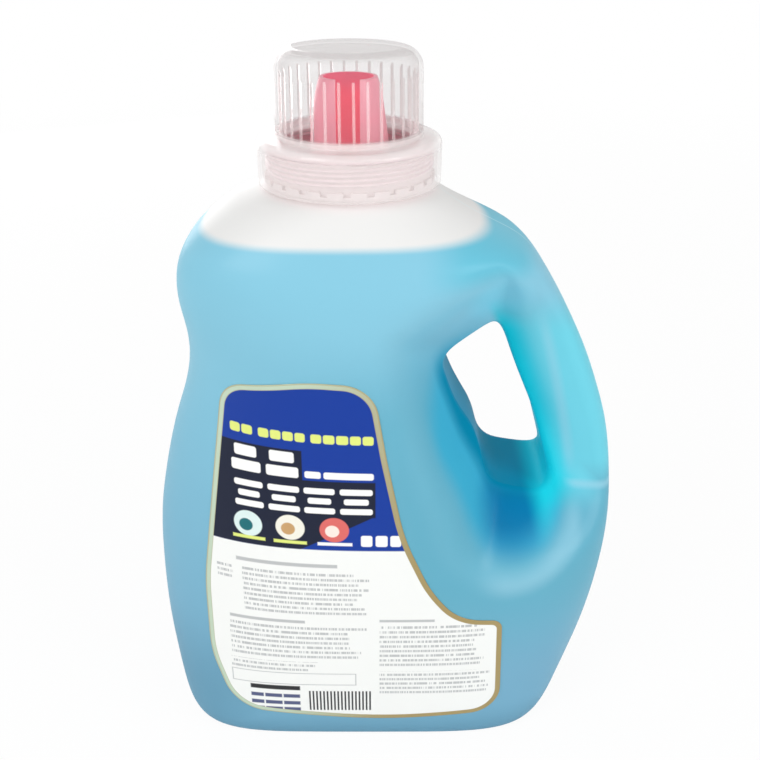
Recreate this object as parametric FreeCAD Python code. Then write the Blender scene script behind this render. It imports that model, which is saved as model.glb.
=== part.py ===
import FreeCAD, Part
import math
import os

# Laundry detergent bottle, 2.5 litre class: a blow-moulded bottle with a hollow
# side handle, a push-in pouring spout and a clear dosing cap.
# Units are millimetres. Outlines are drawn about the neck axis, x to the handle,
# y to the back, z up from the table, and moved to the middle of the base at the end.

V = FreeCAD.Vector

# Bottle body
BODY_WALL = 1.4           # moulded wall
BASE_RISE = 2.5           # height of the pushed-up middle of the base
STAND_TRIM = 0.4          # depth by which the standing ring is flattened
SHOULDER_TOP = 226.6      # where the shoulder has closed to the neck
SHOULDER_END_R = 28.2     # body radius there, just inside the neck wall
QUARTER_POLES = 24        # poles of one level between its side and its front
POINTS_ROUND = 4 * QUARTER_POLES

# Levels of the body: height, left edge, right edge, half depth, squareness
LEVELS = [
    (0.0, -70.0, 79.0, 48.6, 5.0),
    (7.0, -74.6, 84.8, 49.2, 4.5),
    (25.0, -78.2, 91.9, 49.8, 3.7),
    (48.0, -80.8, 99.4, 50.3, 3.2),
    (72.0, -81.2, 104.0, 50.4, 2.85),
    (94.1, -79.7, 105.2, 50.3, 2.65),
    (113.3, -75.9, 103.7, 50.0, 2.5),
    (132.5, -70.7, 100.1, 49.6, 2.4),
    (149.8, -64.6, 94.3, 49.1, 2.35),
    (163.2, -61.8, 88.8, 48.5, 2.35),
    (175.7, -62.0, 82.5, 47.9, 2.4),
    (186.2, -63.6, 76.7, 47.0, 2.5),
    (196.8, -62.8, 69.9, 45.2, 2.7),
    (204.5, -60.1, 64.0, 42.8, 2.9),
    (209.3, -56.3, 55.6, 40.6, 2.9),
    (213.1, -52.2, 47.6, 38.4, 2.8),
    (217.0, -47.6, 40.3, 35.9, 2.6),
    (220.8, -41.7, 35.0, 33.3, 2.3),
    (223.7, -36.0, 29.9, 31.1, 2.1),
]

# Handle pocket: a bowl sunk from front and back, open in the middle
CREST_HALF = 8.6          # half thickness of the body edge at the gap
FLOOR_CREST_HALF = 14.4   # the same under the gap, where the web is thicker
FLOOR_CREST_LOW = 114.0   # below this height it is fully thick
FLOOR_CREST_HIGH = 140.0
HANDLE_HALF = 16.3        # half depth of the handle grip
RIM_BLEND = 10.0  # softness of the rim round the pocket
LEFT_EDGE = ((35.0, 163.0), (53.6, 112.0))
LEFT_SLOPE = 2.5
FLOOR_EDGE = ((53.0, 110.4), (80.6, 105.0))
FLOOR_SLOPE = 1.25
HEEL_EDGE = ((80.0, 104.6), (101.8, 102.6))
HEEL_SLOPE = 1.7
ROOF_EDGE = ((41.2, 166.0), (54.6, 178.8))
ROOF_SLOPE = 1.3
GAP_OUTLINE = [
    (32.6, 163.6), (54.2, 178.4), (62.0, 157.4), (70.8, 137.0), (80.4, 104.0), (53.4, 109.4), (48.0, 131.0),
    (39.6, 143.6),
]
GAP_CORNERS = [2.4, 2.6, 60.0, 80.0, 4.8, 8.0, 30.0, 60.0]
GRIP_INNER = [(GAP_OUTLINE[k][1], GAP_OUTLINE[k][0]) for k in (4, 3, 2, 1)]
CREST_BLEND = 14.0        # softness of the turn from the gap edge to the pocket
GAP_POLES = 28            # smoothing of its outline
GAP_EDGE_R = 3.6          # rounding of the gap edges

# Neck
NECK_R = 28.6
NECK_BORE_R = 25.8
NECK_TOP = 238.0
NECK_FOOT = 222.0
NECK_LEAD = 0.6           # chamfer at its mouth
RATCHET_R = 29.9
RATCHET_TEETH = 24
RATCHET_LOW = 226.8
RATCHET_HIGH = 229.0
RATCHET_GAP = 2.4         # width of each notch between teeth

# Liquid
FILL_LEVEL = 213.0
FILL_CLEAR = 0.2

# Pouring spout
FIT_CLEAR = 0.15
FLANGE_R = 29.2
FLANGE_T = 1.5
PLUG_WALL = 1.4
PLUG_BOTTOM = 227.0
BOWL_FLOOR_BACK = 234.2
BOWL_FLOOR_FRONT = 230.6
BOWL_FLOOR_T = 1.3
SPOUT_WALL = 1.3
SPOUT_PROFILE = [(14.1, 228.0), (13.5, 240.0), (12.1, 250.6), (11.2, 256.0), (9.8, 260.8)]
SPOUT_SLOT_W = 8.0
SPOUT_LIP_R = 0.4

# Dosing cap
CAP_TOP = 270.4
CAP_WALL = 1.5
CUP_TOP_R = 25.0
CUP_FOOT_R = 25.6
CUP_CORNER_R = 6.8
CUP_INNER_CORNER_R = 4.6
SKIRT_BOTTOM = 226.0
SKIRT_R = 32.1
SKIRT_CORNER_R = 2.6
SKIRT_CLEAR = 0.7         # over the ratchet teeth, the widest thing inside it
SEAT_CLEAR = 0.4          # over the spout flange
WEB_T = 1.6
SEAL_DEPTH = 2.2
SEAL_CLEAR = 0.35
SEAL_WALL = 0.9
CUP_FOOT_RISE = 1.2       # from the web's underside to the foot of the cup's inner wall
CUP_RIBS = 32
RIB_W = 0.9
RIB_H = 0.6
RIB_TOP = 262.4

# Front label
LABEL_T = 0.2
LABEL_SEAT = 0.05
LABEL_OUTLINE = [
    (-45.6, 163.0), (-14.0, 169.2), (8.4, 168.6), (13.0, 140.0), (19.6, 106.0), (30.0, 81.0), (41.0, 66.6),
    (58.4, 64.4), (60.4, 15.4), (10.0, 11.4), (-49.6, 17.0), (-58.0, 45.0), (-57.6, 80.0),
]
LABEL_CORNERS = [7.0, 60.0, 7.0, 200.0, 100.0, 60.0, 26.0, 4.5, 8.0, 200.0, 14.0, 50.0, 120.0]


def hermite(rows, z, column):
    """Smooth value of one column of the level table at height z."""
    if z <= rows[0][0]:
        return rows[0][column]
    if z >= rows[-1][0]:
        return rows[-1][column]
    i = 0
    while rows[i + 1][0] < z:
        i += 1

    def slope(k):
        low = rows[max(k - 1, 0)]
        high = rows[min(k + 1, len(rows) - 1)]
        return (high[column] - low[column]) / (high[0] - low[0])

    z0, z1 = rows[i][0], rows[i + 1][0]
    v0, v1 = rows[i][column], rows[i + 1][column]
    step = z1 - z0
    t = (z - z0) / step
    h00 = 2 * t ** 3 - 3 * t ** 2 + 1
    h10 = t ** 3 - 2 * t ** 2 + t
    h01 = 3 * t ** 2 - 2 * t ** 3
    h11 = t ** 3 - t ** 2
    return h00 * v0 + h10 * step * slope(i) + h01 * v1 + h11 * step * slope(i + 1)


def soft_max(a, b, blend):
    """Larger of two values with a round change-over."""
    h = max(blend - abs(a - b), 0.0) / blend
    return max(a, b) + h * h * blend / 4.0


def soft_min(a, b, blend):
    return -soft_max(-a, -b, blend)


def beyond(edge, x, z):
    """Distance of (x, z) past the line through an edge, to the right of its direction."""
    (x0, z0), (x1, z1) = edge
    length = math.hypot(x1 - x0, z1 - z0)
    return ((z1 - z0) * (x - x0) - (x1 - x0) * (z - z0)) / length


def pocket_depth(x, z):
    """Half depth that the pocket leaves at (x, z) of the front view."""
    inner = hermite(GRIP_INNER, z, 1)
    outer = hermite(LEVELS, z, 2)
    t = min(max((x - inner) / (0.5 * max(outer - inner, CREST_HALF)), 0.0), 1.0)
    low = min(max((FLOOR_CREST_HIGH - z) / (FLOOR_CREST_HIGH - FLOOR_CREST_LOW), 0.0), 1.0)
    crest = CREST_HALF + (FLOOR_CREST_HALF - CREST_HALF) * low * low * (3 - 2 * low)
    depth = crest + (HANDLE_HALF - crest) * t * (2 - t)
    left = LEFT_SLOPE * beyond(LEFT_EDGE, x, z)
    floor = FLOOR_SLOPE * beyond(FLOOR_EDGE, x, z)
    heel = HEEL_SLOPE * beyond(HEEL_EDGE, x, z)
    roof = -ROOF_SLOPE * beyond(ROOF_EDGE, x, z)
    rise = soft_max(soft_max(left, roof, 12.0), soft_max(floor, min(heel, floor + 30.0), 8.0), 12.0)
    return depth + soft_max(rise, 0.0, CREST_BLEND)


def level_ring(z, inset=0.0, height=None):
    """Poles of one level: a rounded box whose depth is cut down inside the pocket."""
    left = hermite(LEVELS, z, 1) + inset
    right = hermite(LEVELS, z, 2) - inset
    deep = hermite(LEVELS, z, 3) - inset
    power = hermite(LEVELS, z, 4)
    mid = 0.5 * (left + right)
    half = 0.5 * (right - left)
    ring = []
    for k in range(-1, POINTS_ROUND - 1):
        angle = 2 * math.pi * k / POINTS_ROUND
        c, s = math.cos(angle), math.sin(angle)
        x = mid + half * math.copysign(abs(c) ** (2 / power), c)
        y = deep * math.copysign(abs(s) ** (2 / power), s)
        if abs(y) > 1.0 and x > 0:
            y = math.copysign(max(soft_min(abs(y), pocket_depth(x, z), RIM_BLEND), 0.5), y)
        ring.append(V(x, y, z if height is None else height))
    return ring


def round_ring(radius, z):
    ring = []
    for k in range(-1, POINTS_ROUND - 1):
        angle = 2 * math.pi * k / POINTS_ROUND
        ring.append(V(radius * math.cos(angle), radius * math.sin(angle), z))
    return ring


def body_grid():
    """Levels of poles from the pushed-up base to the foot of the neck."""
    grid = [level_ring(0.0, 30.0, BASE_RISE), level_ring(0.0, 26.0, BASE_RISE)]
    for inset in (18.0, 9.0, 2.2):
        grid.append(level_ring(0.0, inset, -STAND_TRIM))
    grid += [level_ring(2.6, 0.3), level_ring(8.0)]
    z = 18.0
    while z < 72.0:
        grid.append(level_ring(z))
        z += 12.0
    while z < 202.0:
        grid.append(level_ring(z))
        z += 5.8
    for z in (206.0, 210.0, 214.0, 218.0, 221.4):
        grid.append(level_ring(z))
    grid.append(round_ring(SHOULDER_END_R + 2.1, SHOULDER_TOP - 2.4))
    grid.append(round_ring(SHOULDER_END_R + 0.2, SHOULDER_TOP - 1.0))
    grid.append(round_ring(SHOULDER_END_R, SHOULDER_TOP))
    return grid


def moved_out(grid, distance):
    """The same poles moved along the surface normal; negative goes inwards."""
    rows = len(grid)
    out = []
    for i in range(rows):
        ring = []
        below = grid[max(i - 1, 0)]
        above = grid[min(i + 1, rows - 1)]
        for k in range(POINTS_ROUND):
            along = grid[i][(k + 1) % POINTS_ROUND] - grid[i][k - 1]
            up = above[k] - below[k]
            normal = along.cross(up)
            if i <= 1:
                normal = V(0, 0, -1)
            if i >= rows - 2:
                normal = V(normal.x, normal.y, 0)
            normal.normalize()
            ring.append(grid[i][k] + normal * distance)
        out.append(ring)
    return out


def skin_solid(grid):
    """Closed solid with one smooth side face through the poles and two flat ends."""
    rows = len(grid)
    surface = Part.BSplineSurface()
    u_knots = [float(k) for k in range(POINTS_ROUND + 1)]
    v_knots = [float(k) for k in range(rows - 2)]
    v_mults = [4] + [1] * (rows - 4) + [4]
    poles = [[grid[i][k] for i in range(rows)] for k in range(POINTS_ROUND)]
    surface.buildFromPolesMultsKnots(
        poles, [1] * (POINTS_ROUND + 1), v_mults, u_knots, v_knots, True, False, 3, 3)
    side = surface.toShape()
    faces = [side]
    for edge in side.Edges:
        if len(edge.Vertexes) == 1 and edge.BoundBox.ZLength < 0.01:
            faces.append(Part.Face(Part.Wire([edge])))
    shell = Part.makeShell(faces)
    shell.sewShape()
    solid = Part.Solid(shell)
    if solid.Volume < 0:
        solid.reverse()
    return solid


def rounded_outline(points, radii):
    """Closed wire in the plane y = 0, each corner rounded as far as its sides allow."""
    count = len(points)
    starts, ends, mids = [], [], []
    for i in range(count):
        here = V(points[i][0], 0, points[i][1])
        back = V(points[i - 1][0], 0, points[i - 1][1]) - here
        ahead = V(points[(i + 1) % count][0], 0, points[(i + 1) % count][1]) - here
        room = 0.48 * min(back.Length, ahead.Length)
        back.normalize()
        ahead.normalize()
        half_angle = back.getAngle(ahead) / 2
        run = min(radii[i] / math.tan(half_angle), room)
        radius = run * math.tan(half_angle)
        bisector = back + ahead
        bisector.normalize()
        starts.append(here + back * run)
        ends.append(here + ahead * run)
        mids.append(here + bisector * (radius / math.sin(half_angle) - radius))
    edges = []
    for i in range(count):
        if radii[i] > 0:
            edges.append(Part.Arc(starts[i], mids[i], ends[i]).toShape())
        edges.append(Part.makeLine(ends[i], starts[(i + 1) % count]))
    return Part.Wire(edges)


def across(wire, front, back):
    """Prism of a front-view outline between two depths."""
    face = Part.Face(wire)
    face.translate(V(0, front, 0))
    return face.extrude(V(0, back - front, 0))


def cylinder(radius, low, high):
    return Part.makeCylinder(radius, high - low, V(0, 0, low))


def gap_prism(grow):
    """The handle gap, grown by a wall thickness where the cavity is wanted, as one smooth wall."""
    wire = rounded_outline(GAP_OUTLINE, GAP_CORNERS)
    if grow > 0:
        wire = wire.makeOffset2D(grow)
    poles = wire.discretize(Number=GAP_POLES + 1)[:-1]
    curve = Part.BSplineCurve()
    curve.buildFromPoles(poles[GAP_POLES // 2:] + poles[:GAP_POLES // 2], True, 3)
    return across(Part.Wire([curve.toShape()]), -60, 60)


def round_gap(solid, radius):
    """Round the two edges where the gap comes through the skin."""
    edges = []
    for edge in solid.Edges:
        box = edge.BoundBox
        inside = box.XMin > 25 and box.XMax < 92 and box.ZMin > 92 and box.ZMax < 196
        if inside and (box.YMin > 2 or box.YMax < -2) and box.YLength < 45:
            edges.append(edge)
    return solid.makeFillet(radius, edges)


def body_solid(distance, edge_radius):
    """Whole bottle form moved out by a distance, with the gap through it."""
    solid = skin_solid(moved_out(GRID, distance) if distance else GRID)
    solid = solid.cut(gap_prism(-distance))
    return round_gap(solid, edge_radius)


def turned(corners):
    """Solid turned from (radius, height, corner radius) points."""
    wire = rounded_outline([(r, z) for r, z, _ in corners], [c for _, _, c in corners])
    return Part.Face(wire).revolve(V(0, 0, 0), V(0, 0, 1), 360)


def bottle():
    """Blow-moulded bottle: one skin of even wall with the handle hollow and open to the body."""
    outer = body_solid(0.0, GAP_EDGE_R)
    outer = outer.cut(Part.makeBox(400, 400, 10, V(-200, -200, -10)))
    neck = turned([
        (NECK_BORE_R - 2.0, NECK_FOOT, 0), (NECK_R, NECK_FOOT, 0), (NECK_R, NECK_TOP, NECK_LEAD),
        (NECK_BORE_R - 2.0, NECK_TOP, 0)])
    ratchet = cylinder(RATCHET_R, RATCHET_LOW, RATCHET_HIGH)
    ratchet = ratchet.cut(cylinder(NECK_R - 0.5, RATCHET_LOW - 1, RATCHET_HIGH + 1))
    notch = Part.makeBox(
        4.0, RATCHET_GAP, 4.0, V(NECK_R - 0.2, -RATCHET_GAP / 2, RATCHET_LOW + 0.8))
    notches = []
    for k in range(RATCHET_TEETH):
        turned_notch = notch.copy()
        turned_notch.rotate(V(0, 0, 0), V(0, 0, 1), 360.0 * k / RATCHET_TEETH)
        notches.append(turned_notch)
    ratchet = ratchet.cut(Part.makeCompound(notches))
    whole = outer.fuse([neck, ratchet])
    whole = whole.cut(body_solid(-BODY_WALL, GAP_EDGE_R - BODY_WALL))
    return whole.cut(cylinder(NECK_BORE_R, NECK_FOOT - 3, NECK_TOP + 1))


def detergent():
    """The liquid, up to its level, filling the body and the handle."""
    gap = BODY_WALL + FILL_CLEAR
    liquid = body_solid(-gap, GAP_EDGE_R - gap)
    return liquid.cut(Part.makeBox(400, 400, 100, V(-200, -200, FILL_LEVEL)))


def pour_spout():
    """Drain-back fitment: flange, plug wall, sloping bowl floor and a slotted spout."""
    plug_r = NECK_BORE_R - FIT_CLEAR
    bowl_r = plug_r - PLUG_WALL
    flange_low = NECK_TOP + 0.02
    flange_top = flange_low + FLANGE_T
    ring = turned([
        (bowl_r, PLUG_BOTTOM, 0.4), (plug_r, PLUG_BOTTOM, 0.6), (plug_r, flange_low, 0), (FLANGE_R, flange_low, 0.3),
        (FLANGE_R, flange_top, 0.5), (bowl_r, flange_top, 0.6)])
    floor = cylinder(bowl_r + 0.5, PLUG_BOTTOM, NECK_TOP)
    slope = math.degrees(math.atan2(BOWL_FLOOR_BACK - BOWL_FLOOR_FRONT, 2 * bowl_r))
    slab = Part.makeBox(80, 80, BOWL_FLOOR_T, V(-40, -40, -BOWL_FLOOR_T))
    slab.rotate(V(0, 0, 0), V(1, 0, 0), slope)
    slab.translate(V(0, 0, 0.5 * (BOWL_FLOOR_BACK + BOWL_FLOOR_FRONT)))
    floor = floor.common(slab)
    outside = Part.BSplineCurve()
    outside.interpolate([V(r, 0, z) for r, z in SPOUT_PROFILE])
    inside = Part.BSplineCurve()
    inside.interpolate([V(r - SPOUT_WALL, 0, z) for r, z in SPOUT_PROFILE])
    low, high = SPOUT_PROFILE[0], SPOUT_PROFILE[-1]
    wall = Part.Wire([
        outside.toShape(), Part.makeLine(V(high[0], 0, high[1]), V(high[0] - SPOUT_WALL, 0, high[1])),
        inside.toShape(), Part.makeLine(V(low[0] - SPOUT_WALL, 0, low[1]), V(low[0], 0, low[1]))])
    spout = Part.Face(wall).revolve(V(0, 0, 0), V(0, 0, 1), 360)
    bore = Part.Face(Part.Wire([
        inside.toShape(), Part.makeLine(V(high[0] - SPOUT_WALL, 0, high[1]), V(0, 0, high[1])),
        Part.makeLine(V(0, 0, high[1]), V(0, 0, low[1])),
        Part.makeLine(V(0, 0, low[1]), V(low[0] - SPOUT_WALL, 0, low[1]))])).revolve(V(0, 0, 0), V(0, 0, 1), 360)
    slot = Part.makeBox(SPOUT_SLOT_W, 30, 60, V(-SPOUT_SLOT_W / 2, -30, BOWL_FLOOR_FRONT))
    piece = ring.fuse([floor, spout.cut(slot)])
    return piece.cut(bore)


def cap_levels():
    """Underside of the web, and the inner radii of the cup at its foot and its top."""
    return NECK_TOP + 0.02 + FLANGE_T + SEAT_CLEAR, CUP_FOOT_R - CAP_WALL, CUP_TOP_R - CAP_WALL


def dosing_cap():
    """Clear cup with a skirt round its mouth and a seal ring inside it."""
    web_low, foot_in, top_in = cap_levels()
    web_top = web_low + WEB_T
    seal_low = web_low - SEAL_DEPTH
    seal_r = NECK_BORE_R - FIT_CLEAR - PLUG_WALL - SEAL_CLEAR
    seal_in = seal_r - SEAL_WALL
    skirt_in = RATCHET_R + SKIRT_CLEAR
    return turned([
        (skirt_in, SKIRT_BOTTOM, 0.3), (SKIRT_R, SKIRT_BOTTOM, 0.5), (SKIRT_R, web_top, SKIRT_CORNER_R),
        (CUP_FOOT_R, web_top + 0.3, 0.5), (CUP_TOP_R, CAP_TOP, CUP_CORNER_R), (0, CAP_TOP, 0),
        (0, CAP_TOP - CAP_WALL, 0), (top_in, CAP_TOP - CAP_WALL, CUP_INNER_CORNER_R),
        (foot_in, web_low + CUP_FOOT_RISE, 0.5), (seal_in, web_low, 0.3), (seal_in, seal_low, 0.3),
        (seal_r, seal_low, 0.3),
        (seal_r, web_low, 0.2), (skirt_in, web_low, 0.5)])


def cap_ribs():
    """Fine upright ribs on the inside of the cup, their backs on its wall."""
    web_low, foot_in, top_in = cap_levels()
    foot = web_low + CUP_FOOT_RISE
    lean = (foot_in - top_in) / (CAP_TOP - CAP_WALL - foot)
    rib_low = foot + 0.6

    def wall(z):
        return foot_in - lean * (z - foot)

    blank = Part.Face(Part.makePolygon([
        V(wall(rib_low) + 1, 0, rib_low), V(wall(rib_low) - RIB_H, 0, rib_low),
        V(wall(RIB_TOP) - RIB_H, 0, RIB_TOP - 1.2), V(wall(RIB_TOP), 0, RIB_TOP),
        V(wall(RIB_TOP) + 1, 0, RIB_TOP), V(wall(rib_low) + 1, 0, rib_low)]))
    blank.translate(V(0, -RIB_W / 2, 0))
    inside = Part.makeCone(wall(rib_low), wall(RIB_TOP), RIB_TOP - rib_low, V(0, 0, rib_low))
    rib = blank.extrude(V(0, RIB_W, 0)).common(inside)
    ribs = []
    for k in range(CUP_RIBS):
        one = rib.copy()
        one.rotate(V(0, 0, 0), V(0, 0, 1), 360.0 * (k + 0.5) / CUP_RIBS)
        ribs.append(one)
    return Part.makeCompound(ribs)


def front_label():
    """Thin die-cut film lying on the front of the body."""
    wire = rounded_outline(LABEL_OUTLINE, LABEL_CORNERS)
    blank = across(wire, -70, -10)
    film = skin_solid(moved_out(GRID, LABEL_SEAT + LABEL_T)).common(blank)
    return film.cut(skin_solid(moved_out(GRID, LABEL_SEAT)))


GRID = body_grid()
MIDDLE_X = 0.5 * (min(row[1] for row in LEVELS) + max(row[2] for row in LEVELS))
NODES = {
    "bottle": bottle,
    "detergent": detergent,
    "pour_spout": pour_spout,
    "dosing_cap": dosing_cap,
    "cap_ribs": cap_ribs,
    "front_label": front_label,
}

os.makedirs("parts", exist_ok=True)
for name, make in NODES.items():
    shape = make()
    if len(shape.Solids) == 1:
        shape = shape.Solids[0]
    shape.translate(V(-MIDDLE_X, 0, 0))
    print(name, shape.ShapeType, shape.isValid(), len(shape.Solids), "volume", round(shape.Volume / 1000.0, 1))
    shape.exportStep("parts/" + name + ".step")
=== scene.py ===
"""Looks of a two and a half litre laundry detergent bottle: a milky blow-moulded body with blue
liquid behind its wall, a pink pouring spout, a clear dosing cap and a printed front label.
Lengths in the comments are millimetres in the bottle's own frame; meshes are in metres."""
import functools
import math

import bpy
import numpy as np
from bpy.props import FloatProperty, FloatVectorProperty, IntProperty, PointerProperty
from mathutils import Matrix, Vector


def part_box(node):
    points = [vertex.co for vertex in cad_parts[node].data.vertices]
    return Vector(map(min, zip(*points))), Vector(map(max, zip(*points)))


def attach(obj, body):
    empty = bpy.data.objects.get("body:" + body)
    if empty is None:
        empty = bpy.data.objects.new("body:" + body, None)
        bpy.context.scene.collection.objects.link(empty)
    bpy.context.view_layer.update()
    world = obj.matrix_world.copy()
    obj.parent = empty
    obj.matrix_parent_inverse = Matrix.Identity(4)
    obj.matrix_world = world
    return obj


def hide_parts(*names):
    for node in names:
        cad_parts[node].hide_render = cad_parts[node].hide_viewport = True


bl_info = {
    "name": "Laundry detergent bottle",
    "version": (1, 0, 0),
    "blender": (4, 2, 0),
    "location": "3D View > Sidebar > Detergent",
    "description": "Dresses the packed detergent bottle: body, closure, label and studio",
    "category": "Add Mesh",
}

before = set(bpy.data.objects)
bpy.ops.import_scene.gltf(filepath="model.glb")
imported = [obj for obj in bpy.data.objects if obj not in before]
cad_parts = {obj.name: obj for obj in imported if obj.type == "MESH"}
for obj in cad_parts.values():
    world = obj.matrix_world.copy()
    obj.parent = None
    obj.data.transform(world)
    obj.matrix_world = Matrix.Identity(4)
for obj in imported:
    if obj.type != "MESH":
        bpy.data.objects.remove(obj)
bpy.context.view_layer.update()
MM = 1000.0    # millimetres in a metre
CAP_LOW, CAP_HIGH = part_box("dosing_cap")
AXIS_X = (CAP_LOW.x + CAP_HIGH.x) / 2 * MM
SKIRT_FOOT, CAP_TOP = CAP_LOW.z * MM, CAP_HIGH.z * MM
SKIRT_TOP = SKIRT_FOOT + 18.5
LIQUID_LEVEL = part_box("detergent")[1].z * MM
BODY_NAME = "bottle_body"

# Landmarks of the body in millimetres, x from the neck's axis and z from the foot
GAP_FOOT = 108.6
GRIP_X, GRIP_LEAN, GRIP_CURVE = 78.8, 0.28, 0.0011    # the handle's inner edge
HOLLOW_X, HOLLOW_Z = 62.0, 120.0                      # middle of the hand hollow's oval
HOLLOW_HALF, HOLLOW_UP, HOLLOW_DOWN = 28.0, 54.0, 35.0
HOLLOW_BEND, HOLLOW_LEAN = 112.0, 0.33                # above the bend it leans with the handle
THREAD_LOW, THREAD_HIGH = SKIRT_FOOT + 4.4, SKIRT_FOOT + 11.6
THREAD_ROOT = 28.55                                   # just inside the neck's surface
SEAM_PALE = (0.86, 0.95, 0.97)


# Properties

def tint(name, text, default):
    """A colour a user may change, kept as it looks on screen."""
    return FloatVectorProperty(name=name, description=text, default=default,
                               subtype="COLOR_GAMMA", size=3, min=0.0, max=1.0)


def length(name, text, default, low=0.0, high=1.0):
    """A length in metres that a user may change."""
    return FloatProperty(name=name, description=text, default=default, unit="LENGTH",
                         min=low, max=high, precision=4)


class BottleLook(bpy.types.PropertyGroup):
    """Colours and finish of the moulded body with the liquid behind it."""
    liquid_top: tint("Liquid, top", "Body colour just under the liquid level", (0.52, 0.765, 0.85))
    liquid_foot: tint("Liquid, foot", "Body colour near the base", (0.46, 0.67, 0.775))
    # Painted shade where the wall turns under
    turned_under_shade: tint("Liquid, base", "Body colour where the wall turns under", (0.34, 0.54, 0.64))
    liquid_side: tint("Liquid, side", "Greyer blue on the lower right side", (0.53, 0.70, 0.77))
    # Painted shade on the right of the front, between the label and the hollow
    right_painted_shade: tint("Liquid, right", "Deeper blue between the label and the hollow",
                       (0.39, 0.67, 0.76))
    liquid_teal: tint("Liquid, shoulder", "Teal under the shoulder by the handle", (0.37, 0.73, 0.82))
    empty_wall: tint("Empty wall", "Milky wall above the liquid", (0.89, 0.89, 0.885))
    neck_blush: tint("Neck blush", "Neck wall with the pink plug behind it", (0.94, 0.89, 0.89))
    # Painted shade on the sides of the hollow
    hollow_shade: tint("Hand hollow, side", "Sides of the hollow behind the handle", (0.25, 0.65, 0.78))
    # Painted shadow on the walls and foot of the handle gap
    gap_shadow: tint("Hand hollow, deep", "Wall and foot of the handle gap", (0.0, 0.43, 0.58))
    # Painted shade on the lower part of the hollow
    hollow_foot_shade: tint("Hand hollow, foot", "Lower part of the hollow", (0.0, 0.43, 0.63))
    # Painted highlight on the rim of the hollow, the handle's line and the crease
    pale_highlight: tint("Hand hollow, rim", "Pale edge where the hollow turns out", (0.60, 0.80, 0.87))
    # Painted shading across the rounded handle: cyan on the side facing the gap, paler on its back
    handle_inner: tint("Handle, inner", "Side of the handle that faces the gap", (0.09, 0.77, 0.84))
    handle_outer: tint("Handle, outer", "Back of the handle", (0.43, 0.80, 0.87))
    glow: FloatProperty(name="Glow", description="Light that comes through the liquid into the hollow",
                        default=0.16, min=0.0, max=1.0)
    roughness: FloatProperty(name="Roughness", description="Satin of the moulded wall",
                             default=0.45, min=0.0, max=1.0)
    seam_width: length("Parting line", "Width of the mould's parting line", 0.0007, 0.0, 0.003)
    level_blur: length("Level blur", "Softness of the liquid's edge seen through the wall",
                       0.003, 0.0002, 0.02)


class ClosureLook(bpy.types.PropertyGroup):
    """Colours and sizes of the spout, the neck thread and the clear cap."""
    spout: tint("Spout", "Pink of the pouring spout", (0.98, 0.60, 0.67))
    # Painted shade inside the spout's slot
    spout_inside_shade: tint("Spout, inside", "Pink inside the slot", (0.97, 0.36, 0.50))
    # Painted shade in the drain bowl
    bowl: tint("Drain bowl", "Pink inside the bowl round the spout", (0.74, 0.32, 0.46))
    # Grey cast: partly the plastic's own haze, partly painted reflection of the darker room
    clear: tint("Clear plastic", "Cast of the clear cup", (0.77, 0.75, 0.745))
    skirt: tint("Skirt", "Cast of the cap's skirt", (0.98, 0.965, 0.96))
    ribs: tint("Cap ribs", "Milky look of the fine ribs inside the cap", (0.99, 0.97, 0.97))
    haze_cup: FloatProperty(name="Haze, cup", default=0.09, min=0.0, max=1.0,
                            description="How much of the cast one wall of the cup shows")
    haze_skirt: FloatProperty(name="Haze, skirt", default=0.22, min=0.0, max=1.0,
                              description="The same for the skirt and the top disc")
    clear_roughness: FloatProperty(name="Clear roughness", description="Polish of the clear cap",
                                   default=0.10, min=0.0, max=1.0)
    thread: tint("Neck thread", "Colour of the fine thread", (0.97, 0.90, 0.91))
    thread_pitch: length("Thread pitch", "Rise of each start in one turn", 0.0032, 0.0005, 0.01)
    thread_starts: IntProperty(name="Thread starts", description="Ridges side by side",
                               default=2, min=1, max=6)
    thread_height: length("Thread height", "How far the ridge stands off the neck", 0.0009, 0.0, 0.002)


class LabelLook(bpy.types.PropertyGroup):
    """Colours and sizes of the printed film."""
    royal: tint("Upper field", "Royal blue of the upper field", (0.03, 0.22, 0.60))
    navy: tint("Title field", "Dark field behind the title bars", (0.08, 0.11, 0.20))
    paper: tint("Lower field", "White of the lower field", (0.95, 0.955, 0.945))
    ink: tint("Fine print", "Grey of the fine lines", (0.55, 0.56, 0.58))
    lemon: tint("Headline", "Yellow of the first row of bars", (0.88, 0.92, 0.50))
    foil_pale: tint("Border, pale", "Border on the left and the top", (0.76, 0.83, 0.74))
    foil_gold: tint("Border, gold", "Border on the right", (0.66, 0.58, 0.38))
    foil_width: length("Border width", "Width of the border", 0.0021, 0.0005, 0.006)
    film: length("Film", "Thickness of the label film", 0.0002, 0.00005, 0.001)


class StageLook(bpy.types.PropertyGroup):
    """Studio light and the camera."""
    sky: FloatProperty(name="Sky level", description="Light from all round",
                       default=0.54, min=0.0, max=2.0)
    key: FloatProperty(name="Key light", description="Power of the large lamp on the left, in watts",
                       default=8.0, min=0.0, max=100.0)
    fill: FloatProperty(name="Fill light", description="Power of the lamp on the right, in watts",
                        default=5.5, min=0.0, max=100.0)
    rear: FloatProperty(name="Rear light", description="Power of the lamp behind, in watts",
                        default=3.5, min=0.0, max=100.0)
    camera_place: FloatVectorProperty(name="Camera", description="Place of the camera",
                                      default=(-0.0014, -0.3072, 0.3082), subtype="TRANSLATION",
                                      unit="LENGTH", size=3)
    camera_drop: FloatProperty(name="Camera drop", description="How far the camera looks down",
                               default=math.radians(27.9), subtype="ANGLE", unit="ROTATION")
    focal_px: FloatProperty(name="Focal length", description="In pixels of a picture 760 wide",
                            default=877.0, min=100.0, max=4000.0)


# Shader maths

BLACK, WHITE = (0.0, 0.0, 0.0, 1.0), (1.0, 1.0, 1.0, 1.0)


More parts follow.
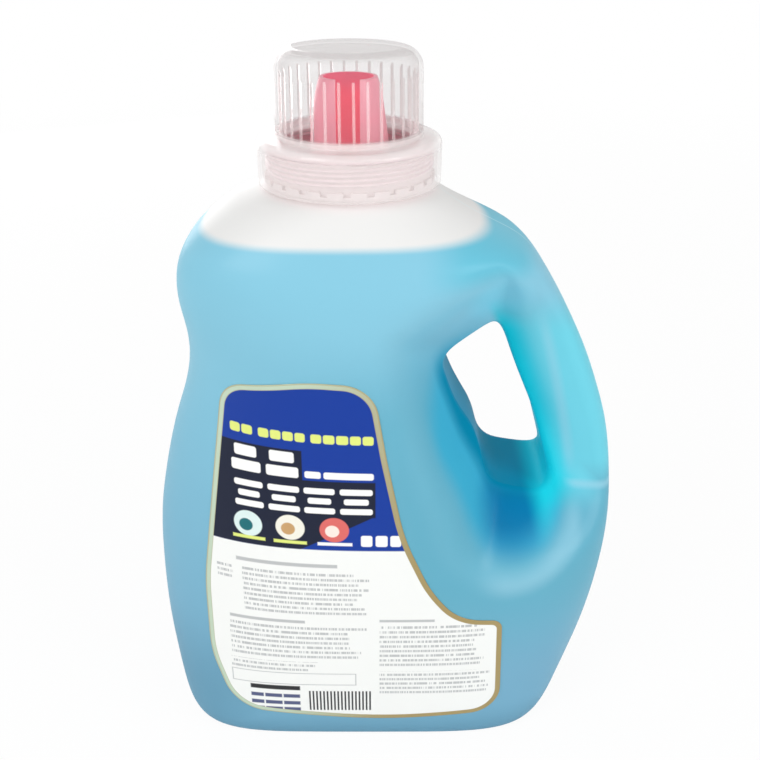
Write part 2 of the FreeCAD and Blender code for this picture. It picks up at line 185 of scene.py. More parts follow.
def linear(colour):
    """Screen colour to light: ((c + 0.055) / 1.055) to the power 2.4, with the straight foot
    near black."""
    c = np.asarray(colour, float)[:3]
    lit = np.where(c <= 0.04045, c / 12.92, ((c + 0.055) / 1.055) ** 2.4)
    return (*(float(v) for v in lit), 1.0)


class Socket:
    """An output in a node tree. Arithmetic on it adds one Math node, so masks read as formulas."""

    def __init__(self, tree, out):
        self.tree, self.out = tree, out

    def math(self, operation, *terms):
        return self.tree.node("ShaderNodeMath", {"operation": operation}, dict(enumerate(terms)))

    def __add__(self, other):
        return self.math("ADD", self, other)

    def __radd__(self, other):
        return self.math("ADD", other, self)

    def __sub__(self, other):
        return self.math("SUBTRACT", self, other)

    def __rsub__(self, other):
        return self.math("SUBTRACT", other, self)

    def __mul__(self, other):
        return self.math("MULTIPLY", self, other)

    def __rmul__(self, other):
        return self.math("MULTIPLY", other, self)

    def __truediv__(self, other):
        return self.math("DIVIDE", self, other)

    def __pow__(self, other):
        return self.math("POWER", self, other)

    def __mod__(self, other):
        return self.math("FLOORED_MODULO", self, other)

    def __abs__(self):
        return self.math("ABSOLUTE", self)

    def floor(self):
        return self.math("FLOOR", self)

    def least(self, other):
        return self.math("MINIMUM", self, other)

    def most(self, other):
        return self.math("MAXIMUM", self, other)

    def reach(self, other):
        """Distance from the origin of a place with these two coordinates."""
        return (self * self + other * other) ** 0.5

    def step(self, low, high):
        """Smooth step: 0 at low, 1 at high, falling instead of rising when low is the larger."""
        if low > high:
            return 1 - self.step(high, low)
        return self.tree.node("ShaderNodeMapRange", {"interpolation_type": "SMOOTHSTEP"},
                              {0: self, 1: low, 2: high})


class Tree:
    """The emptied node tree of a material or a world."""

    def __init__(self, owner):
        owner.use_nodes = True
        self.graph = owner.node_tree
        self.graph.nodes.clear()

    def node(self, kind, settings=None, values=None, output=0):
        """Adds a node: its settings first, then the value or link of each socket."""
        made = self.graph.nodes.new(kind)
        for key, value in (settings or {}).items():
            setattr(made, key, value)
        for key, value in (values or {}).items():
            if isinstance(value, Socket):
                self.graph.links.new(value.out, made.inputs[key])
            else:
                made.inputs[key].default_value = value
        return Socket(self, made.outputs[output])

    def end(self, kind, shader):
        """Adds the tree's output node and links the shader to it."""
        out = self.graph.nodes.new(kind)
        self.graph.links.new(shader.out, out.inputs["Surface"])


class Paint(Tree):
    """One material. Its x, y and z are millimetres from the neck's axis, the parting plane and
    the foot."""

    def __init__(self, name):
        self.material = bpy.data.materials.new(name)
        super().__init__(self.material)
        self.coords = self.node("ShaderNodeTexCoord", output="Object")
        place = self.node("ShaderNodeSeparateXYZ", None, {0: self.coords})
        x, y, z = (Socket(self, out) for out in place.out.node.outputs)
        self.x, self.y, self.z = x * MM - AXIS_X, y * MM, z * MM

    def blend(self, share, first, second):
        """Colour mix: first where share is 0, second where it is 1."""
        return self.node("ShaderNodeMix", {"data_type": "RGBA"},
                         {"Factor": share, 6: first, 7: second}, 2)

    def noise(self, scale, detail):
        return self.node("ShaderNodeTexNoise", {"noise_dimensions": "3D"},
                         {"Vector": self.coords, "Scale": scale, "Detail": detail})

    def bump(self, height, distance, strength):
        return self.node("ShaderNodeBump", None,
                         {"Height": height, "Distance": distance, "Strength": strength})

    def finish(self, shader):
        self.end("ShaderNodeOutputMaterial", shader)
        return self.material

    def surface(self, **sockets):
        """Principled surface; a name such as Base_Color is the socket Base Color."""
        values = {key.replace("_", " "): value for key, value in sockets.items()}
        return self.finish(self.node("ShaderNodeBsdfPrincipled", None, values))



def dress(obj, material):
    """Gives the object this one material."""
    obj.data.materials.clear()
    obj.data.materials.append(material)
    return obj


# Grids

def sheet(name, points, closed=False):
    """Mesh of an (n, m, 3) grid of points. Face (i, j) joins point (i, j) to its neighbours one
    further along each way; a closed sheet joins the last point of each row to its first."""
    n, m = points.shape[:2]
    i, j = np.meshgrid(np.arange(n - 1), np.arange(m if closed else m - 1), indexing="ij")
    i2, j2 = i + 1, (j + 1) % m
    quads = np.stack([i * m + j, i2 * m + j, i2 * m + j2, i * m + j2], -1).reshape(-1, 4)
    mesh = bpy.data.meshes.new(name)
    mesh.vertices.add(n * m)
    mesh.vertices.foreach_set("co", points.reshape(-1).astype(np.float32))
    mesh.loops.add(quads.size)
    mesh.loops.foreach_set("vertex_index", quads.reshape(-1).astype(np.int32))
    mesh.polygons.add(len(quads))
    mesh.polygons.foreach_set("loop_start", (np.arange(len(quads)) * 4).astype(np.int32))
    mesh.polygons.foreach_set("use_smooth", np.ones(len(quads), bool))
    mesh.update(calc_edges=True)
    mesh.validate()
    obj = bpy.data.objects.new(name, mesh)
    bpy.context.scene.collection.objects.link(obj)
    return obj


FIT_DEGREE = 9
FIT_MISS = 0.00015       # metres by which the fit may miss the face
FRONT_FACING = -0.3      # a triangle faces the front when its normal's y is below this


def front_depth(node):
    """Depth y of a node's front face as a polynomial in x and z, fitted by least squares to the
    corners of the triangles that face the front. Returns a function of two arrays."""
    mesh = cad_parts[node].data
    corners = np.zeros(len(mesh.vertices) * 3)
    mesh.vertices.foreach_get("co", corners)
    corners = corners.reshape(-1, 3)
    facing = np.zeros(len(mesh.polygons) * 3)
    mesh.polygons.foreach_get("normal", facing)
    loops = np.zeros(len(mesh.loops), int)
    mesh.loops.foreach_get("vertex_index", loops)
    front = loops.reshape(-1, 3)[facing.reshape(-1, 3)[:, 1] < FRONT_FACING].reshape(-1)
    known = corners[np.unique(front)]
    middle, half = (known.max(0) + known.min(0)) / 2, (known.max(0) - known.min(0)) / 2
    powers = [(a, b) for a in range(FIT_DEGREE + 1) for b in range(FIT_DEGREE + 1 - a)]

    def terms(x, z):
        u, v = (x - middle[0]) / half[0], (z - middle[2]) / half[2]
        return np.stack([u ** a * v ** b for a, b in powers], -1)

    weights, *_ = np.linalg.lstsq(terms(known[:, 0], known[:, 2]), known[:, 1], rcond=None)
    miss = np.abs(terms(known[:, 0], known[:, 2]) @ weights - known[:, 1]).max()
    if miss > FIT_MISS:
        raise ValueError(f"the fitted front of {node} misses by {miss * MM:.3f} mm")
    return lambda x, z: terms(x, z) @ weights


# Label outline: corner places from the neck's axis and the foot, and corner radii
LABEL_CORNERS = np.array([
    (-45.6, 163.0, 12.0), (-14.0, 169.2, 60.0), (8.4, 168.6, 13.0), (13.0, 140.0, 200.0),
    (19.6, 106.0, 100.0), (30.0, 81.0, 60.0), (41.0, 66.6, 26.0), (58.4, 64.4, 4.5),
    (60.4, 15.4, 13.0), (10.0, 11.4, 200.0), (-49.6, 17.0, 19.0), (-58.0, 45.0, 50.0),
    (-57.6, 80.0, 120.0)])


def label_outline(steps=14, count=640):
    """Closed outline as (count, 2) points. At each corner a circle arc of its radius touches both
    sides, its tangent run radius / tan(half angle) kept under 0.48 of the shorter side; the arc's
    points are centre + radius * (turning unit vector). Points are then spaced evenly."""
    here = LABEL_CORNERS[:, :2]
    back, ahead = np.roll(here, 1, 0) - here, np.roll(here, -1, 0) - here
    size_b, size_a = np.linalg.norm(back, axis=1), np.linalg.norm(ahead, axis=1)
    back, ahead = back / size_b[:, None], ahead / size_a[:, None]
    half = np.arccos(np.clip((back * ahead).sum(1), -1, 1)) / 2
    run = np.minimum(LABEL_CORNERS[:, 2] / np.tan(half), 0.48 * np.minimum(size_b, size_a))
    radius = run * np.tan(half)
    bisector = back + ahead
    bisector /= np.linalg.norm(bisector, axis=1)[:, None]
    centre = here + bisector * (radius / np.sin(half))[:, None]
    start, end = here + back * run[:, None] - centre, here + ahead * run[:, None] - centre
    first = np.arctan2(start[:, 1], start[:, 0])
    turn = np.arctan2(end[:, 1], end[:, 0]) - first
    turn = (turn + math.pi) % (2 * math.pi) - math.pi
    angle = first[:, None] + turn[:, None] * np.linspace(0, 1, steps)[None, :]
    arc = centre[:, None, :] + radius[:, None, None] * np.stack([np.cos(angle), np.sin(angle)], -1)
    path = np.concatenate([arc.reshape(-1, 2), arc[:1, 0]])
    along = np.concatenate([[0], np.cumsum(np.linalg.norm(np.diff(path, axis=0), axis=1))])
    even = np.linspace(0, along[-1], count + 1)[:-1]
    return np.stack([np.interp(even, along, path[:, 0]), np.interp(even, along, path[:, 1])], -1)


# Operators

class LAUNDRY_OT_bottle(bpy.types.Operator):
    """Paints the moulded body: milky wall above the liquid, blue below it with painted shade and
    highlights, parting line
    """
    bl_idname = "laundry.bottle"
    bl_label = "Bottle body"

    # Every mask is a product of smooth steps, whose two numbers are millimetres: 0 at the first and
    # 1 at the second. beside is how far a place lies outwards of the handle's inner edge, and depth
    # how far it lies in front of the parting plane or behind it.

    def liquid_tones(self, p, look):
        """Blue of the liquid: darker at the foot, painted shade where the wall turns under, greyer at
        the lower right, painted shade between the label and the hollow and teal under the shoulder."""
        body = p.blend(p.z.step(205.0, 20.0), linear(look.liquid_top), linear(look.liquid_foot))
        # Painted shade where the wall turns under at the foot and on the lower left
        under = p.z.step(20.0, 0.0) * 0.6
        under = under.most(p.x.step(-20.0, -62.0) * p.z.step(70.0, 20.0) * 0.5)
        body = p.blend(under, body, linear(look.turned_under_shade))
        side = p.x.step(78.0, 100.0) * p.z.step(118.0, 96.0)
        body = p.blend(side * 0.6, body, linear(look.liquid_side))
        # Painted shade on the right of the front, between the label and the hollow
        right = p.x.step(-52.0, 30.0) * p.z.step(190.0, 150.0) * p.z.step(30.0, 84.0)
        body = p.blend(right, body, linear(look.right_painted_shade))
        teal = p.x.step(22.0, 42.0) * p.x.step(74.0, 58.0) * p.z.step(196.0, 205.0)
        return p.blend(teal * 0.8, body, linear(look.liquid_teal))

    def hollow_and_handle(self, p, look, body, depth, beside):
        """Lays the painted shade of the hand hollow, the painted shadow on the walls of the gap and the
        handle's painted shading and highlights over the body's blue. Returns that colour and the
        painted glow that stands for light coming through the liquid."""
        # Oval of the hollow: 0 at its middle and 1 on its outline.
        lean = HOLLOW_LEAN * (p.z - HOLLOW_BEND).most(0.0)
        across = (p.x - HOLLOW_X + lean) / HOLLOW_HALF
        oval = across.reach(((p.z - HOLLOW_Z) / HOLLOW_UP).most((HOLLOW_Z - p.z) / HOLLOW_DOWN))
        # Painted highlight along the rim where the hollow turns out, fainter on the left
        fainter_left = 0.12 + p.x.step(44.0, 60.0) * 0.88
        rim = abs(oval - 1.12).step(0.24, 0.0) * beside.step(12.0, 4.0) * fainter_left
        body = p.blend(rim * 0.5, body, linear(look.pale_highlight))
        # Painted shade on the sides of the hollow
        hollow = oval.step(1.06, 0.78) * depth.step(46.0, 34.0) * beside.step(6.0, -2.0)
        body = p.blend(hollow, body, linear(look.hollow_shade))

        # Painted shadow on the foot of the hollow and on the walls of the gap, both lighter towards the
        # handle
        towards = beside.step(-13.0, -3.0)
        low = oval.step(0.98, 0.62) * p.z.step(124.0, 108.0) * p.x.step(45.0, 58.0)
        foot = p.blend(towards, linear(look.hollow_foot_shade), linear(look.handle_inner))
        body = p.blend(low, body, foot)
        web = depth.step(25.0, 17.0) * beside.step(2.0, -3.0) * p.z.step(172.0, 154.0)
        web = web * p.x.step(24.0, 32.0) * p.z.step(97.0, 103.0)
        deep = p.blend(towards, linear(look.gap_shadow), linear(look.handle_inner))
        body = p.blend(web, body, deep)

        # Painted shading across the rounded handle: cyan on the side facing the gap, paler further out
        handle = beside.step(-3.0, 1.0) * p.z.step(97.0, 112.0) * depth.step(30.0, 20.0)
        handle = handle * p.z.step(192.0, 172.0)
        heel = beside.step(24.0, 12.0).most(p.z.step(104.0, 120.0))
        grip = p.blend(beside.step(1.0, 13.0), linear(look.handle_inner), linear(look.handle_outer))
        body = p.blend(handle * heel, body, grip)

        # Painted highlights: a pale line along the handle, further from its inner edge the higher it
        # is, and one along the crease where the handle's foot meets the body
        line = abs(beside - 10.4 - 0.113 * (p.z - 129.0)).step(3.4, 0.0)
        line = line * p.z.step(186.0, 170.0) * p.z.step(108.0, 124.0)
        crease_highlight = abs(p.z - GAP_FOOT + 0.10 * (p.x - 89.0)).step(2.6, 0.0) * beside.step(4.0, 10.0)
        body = p.blend((line * 0.4).most(crease_highlight * 0.6), body, linear(look.pale_highlight))

        # Light in the hollow, and in an oval under the shoulder where the handle starts
        glow = (hollow * 0.3).most(low * 0.3)
        glow = glow.most(handle * beside.step(13.0, 2.0) * p.z.step(101.0, 118.0))
        glow = glow.most(web * (1 - towards * 0.6) * 0.85)
        start_x, start_z = (p.x - 53.0) / 15.0, (p.z - 189.0) / 13.0
        start = (start_x * start_x + start_z * start_z).step(1.0, 0.0)
        return body, p.blend(glow.most(start * 0.7), BLACK, linear(look.handle_inner))

    def execute(self, context):
        look = context.scene.bottle_look
        p = Paint("milky moulded wall")
        depth = abs(p.y)
        rise = p.z - GAP_FOOT
        beside = p.x - (GRIP_X - GRIP_LEAN * rise - GRIP_CURVE * rise * rise)
        tones = self.liquid_tones(p, look)
        body, lit = self.hollow_and_handle(p, look, tones, depth, beside)

        blush = p.x.reach(p.y).step(34.0, 29.0) * p.z.step(220.0, 228.0)
        dry = p.blend(blush, linear(look.empty_wall), linear(look.neck_blush))
        blur = look.level_blur * MM
        wet = p.z.step(LIQUID_LEVEL + blur * 0.4, LIQUID_LEVEL - blur * 0.6)
        colour = p.blend(wet, dry, body)

        width = look.seam_width * MM
        outside = beside.step(2.0, 6.0).most(p.x.step(26.0, 20.0)).most(p.z.step(186.0, 190.0))
        seam = depth.step(width, width * 0.3) * p.z.step(224.0, 222.0) * outside
        colour = p.blend(seam * 0.35, colour, linear(SEAM_PALE))
        sheltered = depth.step(34.0, 22.0) * beside.step(8.0, 0.0)
        sheltered = sheltered * p.x.step(18.0, 27.0) * p.z.step(196.0, 182.0)
        grain = p.noise(900.0, 1.0) * 0.12 + seam
        material = p.surface(Base_Color=colour, Roughness=look.roughness, Specular_IOR_Level=0.04,
                             Coat_Weight=(1 - sheltered) * 0.2, Coat_Roughness=0.25,
                             Emission_Color=lit, Emission_Strength=look.glow,
                             Normal=p.bump(grain, 0.00008, 0.6))
        dress(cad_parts["bottle"], material)
        liquid = Paint("blue detergent")
        dress(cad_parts["detergent"],
              liquid.surface(Base_Color=linear(look.hollow_shade), Roughness=0.2))
        return {"FINISHED"}


class LAUNDRY_OT_spout(bpy.types.Operator):
    """Paints the pouring spout with painted shade and glow in its slot and painted shade in its drain
    bowl
    """
    bl_idname = "laundry.spout"
    bl_label = "Pouring spout"

    def execute(self, context):
        look = context.scene.closure_look
        p = Paint("pink moulded spout")
        from_axis = p.x.reach(p.y)
        # Middle of the spout's wall: 12.85 at the foot, less 0.0085 of the height above 240 squared
        rise = (p.z - 240.0).most(0.0)
        wall = 12.85 - 0.0085 * rise * rise
        # Painted shade on the inside of the spout's wall, deeper towards the top
        inside = (from_axis - wall).step(0.25, -0.25) * p.z.step(231.0, 234.0)
        throat = p.blend(p.z.step(252.0, 260.0) * 0.5, linear(look.spout_inside_shade), linear(look.bowl))
        colour = p.blend(inside, linear(look.spout), throat)
        # Painted shade in the drain bowl round the spout
        bowl = from_axis.step(13.6, 14.4) * from_axis.step(24.6, 24.0) * p.z.step(240.0, 238.6)
        colour = p.blend(bowl, colour, linear(look.bowl))
        flange = from_axis.step(24.2, 24.8)
        colour = p.blend(flange * 0.8, colour, linear(look.thread))
        # Painted glow on the inside of the spout's wall
        material = p.surface(Base_Color=colour, Roughness=0.34,
                             Emission_Color=p.blend(inside, BLACK, throat), Emission_Strength=0.3)
        dress(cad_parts["pour_spout"], material)
        return {"FINISHED"}


class LAUNDRY_OT_thread(bpy.types.Operator):
    """Winds the fine screw thread round the neck"""
    bl_idname = "laundry.thread"
    bl_label = "Neck thread"

    STEPS_PER_TURN, STEPS_ACROSS = 120, 9
    FADE = 14             # each end fades over a fourteenth of the length
    RIDGE_SHARE = 0.62    # width of the ridge as a share of the way to the next one

    def execute(self, context):
        look = context.scene.closure_look
        pitch, height = look.thread_pitch * MM, look.thread_height * MM
        rise = THREAD_HIGH - THREAD_LOW
        turns = rise / pitch
        width = pitch / look.thread_starts * self.RIDGE_SHARE
        # Each start is a helix of height low + rise * t over these turns. Its rounded section is
        # half a sine wave, and it fades in and out at its ends.
        t = np.linspace(0, 1, int(turns * self.STEPS_PER_TURN))[:, None, None]
        s = np.linspace(0, 1, self.STEPS_ACROSS)[None, :, None]
        fade = np.clip(np.minimum(t, 1 - t) * self.FADE, 0, 1)
        r = THREAD_ROOT + height * fade * np.sin(math.pi * s) ** 0.8
        z = THREAD_LOW + rise * t + (s - 0.5) * width
        for start in range(look.thread_starts):
            a = 2 * math.pi * (t * turns + start / look.thread_starts)
            grid = np.concatenate([r * np.cos(a) + AXIS_X, r * np.sin(a), z], -1) / MM
            piece = sheet(f"neck_thread_{start + 1}", grid)
            p = Paint(f"milky thread {start + 1}")
            dress(piece, p.surface(Base_Color=linear(look.thread), Roughness=0.3))
            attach(piece, BODY_NAME)
        return {"FINISHED"}


class LAUNDRY_OT_cap(bpy.types.Operator):
    """Makes the dosing cap clear"""
    bl_idname = "laundry.cap"
    bl_label = "Dosing cap"

    def execute(self, context):
        look = context.scene.closure_look
        p = Paint("clear cap")
        # Each wall shows a share of the milky cast, more of it where it is seen edge on, in the
        # skirt and in the top disc, and lets the rest through unbent, as a thin wall does.
        edge = p.node("ShaderNodeLayerWeight", None, {"Blend": 0.35}, "Facing") ** 3.0
        skirt = p.z.step(SKIRT_TOP, SKIRT_TOP - 1.5)
        cup = (1 - skirt) * p.z.step(CAP_TOP - 1.0, CAP_TOP - 3.0)
        disc = p.z.step(CAP_TOP - 1.9, CAP_TOP - 1.2)
        ring = p.z.step(SKIRT_FOOT + 12.0, SKIRT_FOOT + 15.0) * skirt
        haze = look.haze_skirt + cup * (look.haze_cup - look.haze_skirt) + disc * 0.16 + ring * 0.3
        share = 1 - (1 - edge * 0.7) * (1 - haze)
        # The grey cast is partly the plastic's own haze and partly painted reflection and refraction of
        # the darker room; the top disc's extra haze paints it as a darker ellipse.
        cast = p.blend(skirt, linear(look.clear), linear(look.skirt))
        material = p.surface(Base_Color=cast, Roughness=look.clear_roughness, IOR=1.49, Alpha=share)
        dress(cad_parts["dosing_cap"], material)
        ribs = Paint("milky ribs")
        # Painted glow on the ribs: a weak emission of their own milky colour
        dress(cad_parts["cap_ribs"],
              ribs.surface(Base_Color=linear(look.ribs), Roughness=0.2, Transmission_Weight=0.84,
                           IOR=1.03, Emission_Color=linear(look.ribs), Emission_Strength=0.06))
        return {"FINISHED"}


# Print on the label, in millimetres: x from the neck's axis, z from the foot
HEADLINE = ((-43.0, -39.2), (-38.6, -34.6), (-32.4, -28.6), (-28.0, -24.2), (-23.6, -19.8),
            (-19.2, -15.6), (-13.6, -9.8), (-9.2, -5.2), (-4.6, -0.4), (0.2, 4.0), (4.6, 8.4))
TITLE_BLOCKS = ((-43.2, -32.2, 131.2, 141.4), (-30.2, -18.4, 131.2, 141.4),
                (-42.6, -31.8, 116.8, 127.6), (-30.0, -18.4, 116.8, 127.6),
                (-16.8, -5.6, 116.8, 127.6), (-3.8, 8.0, 116.8, 127.6),
                (-16.2, -10.4, 131.6, 134.4), (-9.4, 8.4, 131.6, 134.4))
# Discs with a smaller one in each: middle x and z, colour of the disc, colour of the small one
DISCS = ((-38.3, 109.4, (0.86, 0.93, 0.92), (0.10, 0.42, 0.45)),
         (-22.4, 109.9, (0.94, 0.93, 0.88), (0.78, 0.62, 0.42)),
         (-6.1, 109.8, (0.86, 0.42, 0.40), (0.98, 0.90, 0.86)))
YELLOW_LINES = ((-44.4, -32.0), (-28.8, -16.4))
SMALL_BLOCKS = ((3.6, 7.8), (9.0, 13.4), (14.4, 18.4))
# Paragraphs of fine print: x0, x1, z0, z1, line pitch, seed of the breaks
FINE_PRINT = ((-42.0, 6.8, 69.0, 90.2, 2.35, 1.0), (-52.0, -45.5, 83.0, 90.2, 2.35, 5.0),
              (-48.8, 6.6, 46.0, 63.4, 2.5, 9.0), (-49.4, -13.6, 38.8, 44.4, 2.4, 13.0),
              (10.4, 53.0, 42.0, 64.0, 2.5, 21.0), (10.4, 55.0, 26.4, 39.6, 2.5, 33.0))
GREY_BARS = ((-44.0, -5.4, 92.4, 94.0), (10.4, 31.8, 66.0, 67.2), (-48.4, -18.6, 64.8, 66.2))
BLUE_ROWS, BLUE_COLUMNS = (24.0, 20.0, 16.4), ((-42.4, -37.2), (-36.6, -29.6), (-29.0, -22.2))
CORNER = 0.9      # corner radius of the printed blocks
BLOCK_WHITE = (0.97, 0.97, 0.96)


class LAUNDRY_OT_label(bpy.types.Operator):
    """Lays the printed film on the front of the body"""
    bl_idname = "laundry.label"
    bl_label = "Front label"

    EDGE_ROWS = np.array([0.0, 0.15, 0.5, 1.0, 1.5, 2.0, 2.5, 3.0])
    CENTRE = np.array([-8.0, 50.0])
    RINGS = 30
    SINK = 0.00002    # metres that the print's face lies behind the CAD film's

    def film(self, look):
        """Fan of rings: the first follow the outline at set distances inward, along its normals,
        the rest shrink in proportion towards a centre. Depth comes from the fitted front."""
        outline = label_outline()
        tangent = np.roll(outline, -1, 0) - np.roll(outline, 1, 0)
        inward = np.stack([tangent[:, 1], -tangent[:, 0]], -1)
        inward /= np.linalg.norm(inward, axis=1)[:, None]
        edge = outline[None] + inward[None] * self.EDGE_ROWS[:, None, None]
        shrink = np.linspace(1, 0, self.RINGS)[1:, None, None]
        middle = self.CENTRE + (edge[-1][None] - self.CENTRE) * shrink
        flat = np.concatenate([edge, middle])
        x, z = (flat[..., 0] + AXIS_X) / MM, flat[..., 1] / MM
        y = front_depth("front_label")(x, z) + self.SINK
        piece = sheet("front_label_print", np.stack([x, y, z], -1), closed=True)
        # Distance from the edge, for the border; past the last edge row it only has to go on rising.
        inner = self.EDGE_ROWS[-1] + 20.0 * (1 - shrink[:, 0, 0])
        distance = np.repeat(np.concatenate([self.EDGE_ROWS, inner]), len(outline))
        attribute = piece.data.attributes.new("edge_mm", "FLOAT", "POINT")
        attribute.data.foreach_set("value", distance.astype(np.float32))
        wall = piece.modifiers.new("film", "SOLIDIFY")
        wall.thickness, wall.offset = look.film, -1.0
        return piece

    def printed(self, p, look):
        """Colour of the print without its border: fields, bars and blocks, discs and fine lines."""
        x, z = p.x, p.z

        def block(x0, x1, z0, z1, corner=CORNER):
            """Rounded rectangle: how far |place - middle| passes the straight part, less the corner."""
            across = (abs(x - (x0 + x1) / 2) - ((x1 - x0) / 2 - corner)).most(0.0)
            up = (abs(z - (z0 + z1) / 2) - ((z1 - z0) / 2 - corner)).most(0.0)
            return across.reach(up).step(corner + 0.2, corner - 0.2)

        def bar(x0, x1, z0, z1, soft=0.25):
            """Soft-edged rectangle: the least of the distances inside its four sides."""
            side = (x - x0).least(x1 - x)
            height = (z - z0).least(z1 - z)
            return side.least(height).step(-soft, soft)

        def disc(cx, cz, radius):
            return (x - cx).reach(z - cz).step(radius + 0.25, radius - 0.25)

        def over(under, mask, colour):
            return p.blend(mask, under, linear(colour))

        def union(masks):
            return functools.reduce(Socket.most, masks)

        def rows(x0, x1, z0, z1):
            """A block of the title: rounded bars above each other, one for each four millimetres."""
            gap = 1.6
            count = max(1, round((z1 - z0) / 4.2))
            pitch = (z1 - z0 + gap) / count
            bars = [block(x0, x1, z0, z0 + pitch - gap, min(CORNER, (z1 - z0) * 0.3))]
            for k in range(1, count):
                inset = (x1 - x0) * 0.12 * (k % 2)
                low = z0 + k * pitch
                bars.append(block(x0 + inset, x1 - inset, low, low + pitch - gap))
            return union(bars)

        def words(x0, x1, z0, z1, pitch, seed):
            """Grey ruled lines, one each pitch: a noise along the row breaks them into short marks,
            and each row stops short of the right edge by its own random share of a sixth of the
            width."""
            row = (z - z0) / pitch
            number = row.floor()
            line = abs(row % 1.0 - 0.5).step(0.32, 0.18)
            short = p.node("ShaderNodeTexWhiteNoise", {"noise_dimensions": "1D"},
                           {"W": number * 3.7 + seed})
            ends = (x1 - (x1 - x0) / 6.0 * short - x).step(-0.2, 0.2)
            spot = p.node("ShaderNodeCombineXYZ", None, {0: x * 1.9 + seed, 1: number * 7.31})
            broken = p.node("ShaderNodeTexNoise", {"noise_dimensions": "2D"},
                            {"Vector": spot, "Scale": 1.0, "Detail": 2.0}).step(0.38, 0.52)
            return bar(x0, x1, z0, z1, 0.1) * ends * line * broken

        # Fields: white below, royal blue above, and a dark one with a slanted lower right edge
        lower = z.step(100.9, 100.3)
        base = p.blend(lower, linear(look.royal), linear(look.paper))
        navy = bar(-70.0, -17.0, 90.0, 142.4).most(bar(-70.0, 9.0, 90.0, 130.6))
        slope = (z - 102.0) - (x + 16.2) * 0.56
        navy = navy * slope.step(-0.3, 0.3).most(z.step(115.0, 116.0)) * (1 - lower)
        base = over(base, navy, look.navy)

        for x0, x1 in HEADLINE:
            base = over(base, block(x0, x1, 145.9, 149.4), look.lemon)
        for sides in TITLE_BLOCKS:
            base = over(base, rows(*sides), BLOCK_WHITE)
        for cx, cz, face, mark in DISCS:
            base = over(base, disc(cx, cz, 5.4), face)
            base = over(base, disc(cx - 0.8, cz - 0.6, 2.6), mark)
        for x0, x1 in YELLOW_LINES:
            base = over(base, bar(x0, x1, 102.8, 104.2), look.lemon)
        base = over(base, bar(-12.4, 0.4, 102.8, 104.2), BLOCK_WHITE)
        for x0, x1 in SMALL_BLOCKS:
            base = over(base, block(x0, x1, 102.6, 107.6), BLOCK_WHITE)

        outlined = bar(-49.6, 1.0, 31.6, 38.2) * (1 - bar(-49.2, 0.6, 32.0, 37.8, 0.1))
        ink = union([words(*place) for place in FINE_PRINT]
                    + [bar(*sides) for sides in GREY_BARS] + [outlined])
        base = over(base, ink * lower * 0.62, look.ink)
        base = over(base, bar(-42.4, -22.0, 28.4, 30.8), (0.16, 0.16, 0.17))
        for z0 in BLUE_ROWS:
            for x0, x1 in BLUE_COLUMNS:
                base = over(base, bar(x0, x1, z0, z0 + 2.0), (0.33, 0.36, 0.50))
        ruled = abs((x / 1.45) % 1.0 - 0.5).step(0.30, 0.20)
        return over(base, bar(-18.6, 7.4, 17.0, 28.2) * ruled, (0.25, 0.25, 0.26))

    def execute(self, context):
        look = context.scene.label_look
        piece = self.film(look)
        p = Paint("printed film")
        width = look.foil_width * MM
        edge = p.node("ShaderNodeAttribute", {"attribute_name": "edge_mm"}, None, "Fac")
        rim = edge.step(width + 0.15, width - 0.15)
        # Border: pale on the left, gold on the right, with a gold line along both of its edges
        gold = (p.x * 0.9 - p.z * 0.10 + 8.0).step(-28.0, 24.0)
        foil = p.blend(gold, linear(look.foil_pale), linear(look.foil_gold))
        line = abs(edge - 0.25).step(0.35, 0.1).most(abs(edge - width).step(0.35, 0.1))
        foil = p.blend(line * 0.55, foil, linear(look.foil_gold))
        material = p.surface(Base_Color=p.blend(rim, self.printed(p, look), foil),
                             Roughness=0.34, Metallic=rim * 0.25, Specular_IOR_Level=0.2,
                             Coat_Weight=0.06 + rim * 0.3, Coat_Roughness=0.12)
        dress(piece, material)
        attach(piece, BODY_NAME)
        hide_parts("front_label")
        return {"FINISHED"}


# Square lamps: name, place and side in metres
LAMPS = (("key", (-0.75, -0.75, 0.95), 0.7), ("fill", (0.95, -0.55, 0.6), 0.6),
         ("rear", (-0.5, 1.1, 0.35), 0.7))
LAMP_AIM = (0.0, 0.0, 0.12)
FLOOR_HALF = 8.0
SENSOR_MM, PICTURE_PX = 36.0, 760.0


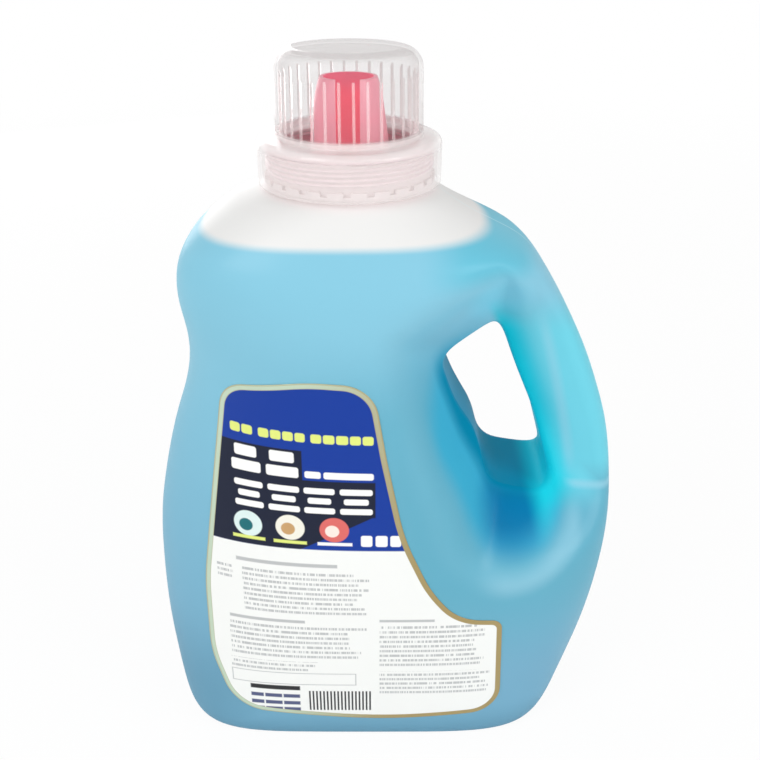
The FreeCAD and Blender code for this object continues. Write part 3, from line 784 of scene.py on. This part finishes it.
class LAUNDRY_OT_stage(bpy.types.Operator):
    """Sets the pale studio: floor, soft lamps, white surroundings and the camera"""
    bl_idname = "laundry.stage"
    bl_label = "Studio"

    def world(self, scene, look):
        """White to the camera and in gloss and glass, and a dimmer sky as light."""
        scene.world = bpy.data.worlds.new("white studio")
        tree = Tree(scene.world)
        camera, gloss, glass = (tree.node("ShaderNodeLightPath", output=f"Is {kind} Ray")
                                for kind in ("Camera", "Glossy", "Transmission"))
        seen = (camera + gloss + glass).least(1.0)
        strength = look.sky + seen * (1.0 - look.sky)
        tree.end("ShaderNodeOutputWorld",
                 tree.node("ShaderNodeBackground", None, {"Color": WHITE, "Strength": strength}))

    def floor(self):
        """Matt floor that the camera sees nearly white, and quite white far from the bottle."""
        p = Paint("pale floor")
        path = p.node("ShaderNodeLightPath", None, None, "Is Camera Ray")
        share = path * (0.94 + p.x.reach(p.y).step(250.0, 1600.0) * 0.06)
        matt = p.node("ShaderNodeBsdfDiffuse", None, {0: (0.90, 0.90, 0.90, 1.0)})
        white = p.node("ShaderNodeEmission", None, {0: WHITE, 1: 1.0})
        p.finish(p.node("ShaderNodeMixShader", None, {0: share, 1: matt, 2: white}))
        ends = (-FLOOR_HALF, FLOOR_HALF)
        ground = np.array([[[x, y, 0.0] for y in ends] for x in ends])
        return dress(sheet("studio_floor", ground), p.material)

    def lamp(self, name, place, size, power):
        light = bpy.data.lights.new(name, "AREA")
        light.shape, light.size, light.energy = "SQUARE", size, power
        lamp = bpy.data.objects.new(name, light)
        bpy.context.scene.collection.objects.link(lamp)
        way = np.array(LAMP_AIM) - np.array(place)
        flat = math.hypot(way[0], way[1])
        lamp.location = place
        lamp.rotation_euler = (math.atan2(flat, -way[2]), 0.0, math.atan2(-way[0], way[1]))
        return lamp

    def camera(self, scene, look):
        data = bpy.data.cameras.new("camera")
        data.sensor_fit, data.sensor_width = "HORIZONTAL", SENSOR_MM
        data.lens = look.focal_px / PICTURE_PX * SENSOR_MM
        data.clip_start, data.clip_end = 0.01, 50.0
        camera = bpy.data.objects.new("camera", data)
        scene.collection.objects.link(camera)
        camera.location = look.camera_place
        camera.rotation_euler = (math.pi / 2 - look.camera_drop, 0.0, 0.0)
        scene.camera = camera

    def execute(self, context):
        scene, look = context.scene, context.scene.stage_look
        self.world(scene, look)
        floor = self.floor()
        key, fill, rear = (self.lamp(*lamp, getattr(look, lamp[0])) for lamp in LAMPS)
        self.camera(scene, look)
        scene.view_settings.view_transform = "Standard"
        return {"FINISHED"}


class LAUNDRY_PT_panel(bpy.types.Panel):
    """Lists the pieces and the studio, with their sizes and colours"""
    bl_idname = "LAUNDRY_PT_panel"
    bl_label = "Detergent bottle"
    bl_space_type = "VIEW_3D"
    bl_region_type = "UI"
    bl_category = "Detergent"

    def draw(self, context):
        for operators, group in PARTS:
            box = self.layout.box()
            for operator in operators:
                box.operator(operator.bl_idname)
            settings = getattr(context.scene, group)
            for name in settings.bl_rna.properties.keys():
                if name not in ("rna_type", "name"):
                    box.prop(settings, name)


PARTS = (
    ((LAUNDRY_OT_bottle,), "bottle_look"),
    ((LAUNDRY_OT_spout, LAUNDRY_OT_thread, LAUNDRY_OT_cap), "closure_look"),
    ((LAUNDRY_OT_label,), "label_look"),
    ((LAUNDRY_OT_stage,), "stage_look"),
)
GROUPS = {"bottle_look": BottleLook, "closure_look": ClosureLook, "label_look": LabelLook,
          "stage_look": StageLook}
CLASSES = (*GROUPS.values(), *(operator for operators, _ in PARTS for operator in operators),
           LAUNDRY_PT_panel)


def register():
    for cls in CLASSES:
        bpy.utils.register_class(cls)
    for name, group in GROUPS.items():
        setattr(bpy.types.Scene, name, PointerProperty(type=group))


def unregister():
    for name in GROUPS:
        delattr(bpy.types.Scene, name)
    for cls in reversed(CLASSES):
        bpy.utils.unregister_class(cls)


def main():
    register()
    for operators, _ in PARTS:
        for operator in operators:
            group, name = operator.bl_idname.split(".")
            getattr(getattr(bpy.ops, group), name)()


if __name__ == "__main__":
    main()
